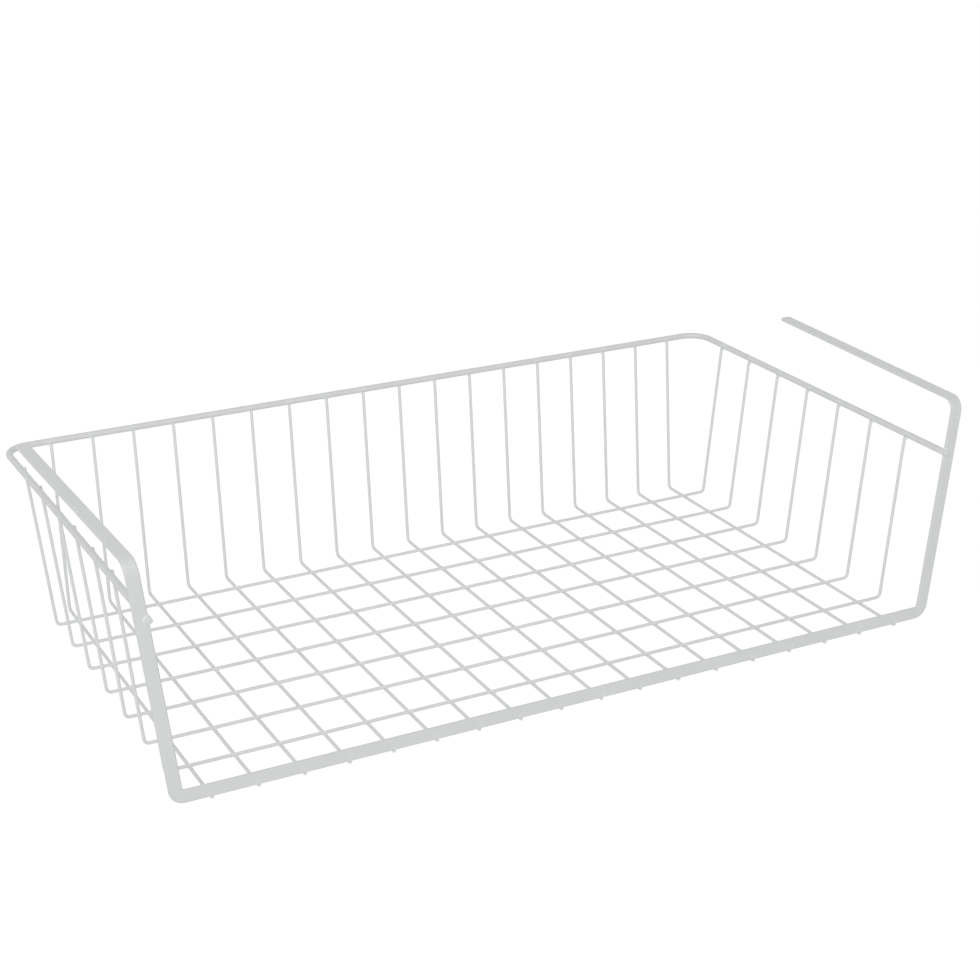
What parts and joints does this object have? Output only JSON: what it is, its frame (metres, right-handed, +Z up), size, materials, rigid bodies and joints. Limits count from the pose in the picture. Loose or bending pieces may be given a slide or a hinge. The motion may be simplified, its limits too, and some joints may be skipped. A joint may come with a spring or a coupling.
{
  "type": "under shelf basket",
  "caption": "Welded wire basket on a bent flat strip frame, hung under a shelf by two level arms that rest on the board.",
  "frame": {"origin": "Under the middle of the whole basket, in the plane that its floor wires stand on.", "axes": "+X runs to the right along the front bar, +Y from the open front to the back, +Z up towards the arms."},
  "size_m": [0.5062, 0.265, 0.1383],
  "materials": {
    "coated_steel": "satin"
  },
  "bodies": {
    "root": {"frame_strip": "coated_steel", "rim_wire": "coated_steel", "cross_wire_1": "coated_steel", "cross_wire_2": "coated_steel", "cross_wire_3": "coated_steel", "cross_wire_4": "coated_steel", "cross_wire_5": "coated_steel", "cross_wire_6": "coated_steel", "cross_wire_7": "coated_steel", "long_wire_1": "coated_steel", "long_wire_2": "coated_steel", "long_wire_3": "coated_steel", "long_wire_4": "coated_steel", "long_wire_5": "coated_steel", "long_wire_6": "coated_steel", "long_wire_7": "coated_steel", "long_wire_8": "coated_steel", "long_wire_9": "coated_steel", "long_wire_10": "coated_steel", "long_wire_11": "coated_steel", "long_wire_12": "coated_steel", "long_wire_13": "coated_steel", "long_wire_14": "coated_steel", "long_wire_15": "coated_steel", "long_wire_16": "coated_steel", "long_wire_17": "coated_steel", "long_wire_18": "coated_steel"}
  },
  "joints": []
}
